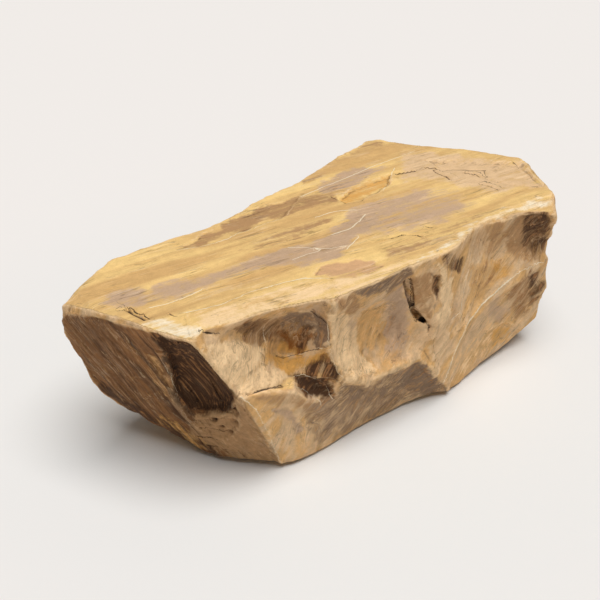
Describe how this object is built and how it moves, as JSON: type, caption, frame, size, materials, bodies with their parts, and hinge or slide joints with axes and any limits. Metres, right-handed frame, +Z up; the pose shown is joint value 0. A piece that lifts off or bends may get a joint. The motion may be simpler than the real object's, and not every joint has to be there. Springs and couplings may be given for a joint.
{
  "type": "boulder",
  "caption": "Natural sandstone boulder: a long, flat-topped slab with flaked sides and an undercut end, resting on a flat underside.",
  "frame": {"origin": "middle of the stone's footprint, on the ground", "axes": "+X along the stone from its undercut end, +Y from the flaked front to the back, +Z up"},
  "size_m": [0.806, 0.3519, 0.286],
  "materials": {
    "sandstone": "rough split sandstone, golden tan with grey-mauve and rust bands and thin pale veins"
  },
  "bodies": {
    "root": {"boulder": "sandstone"}
  },
  "joints": []
}
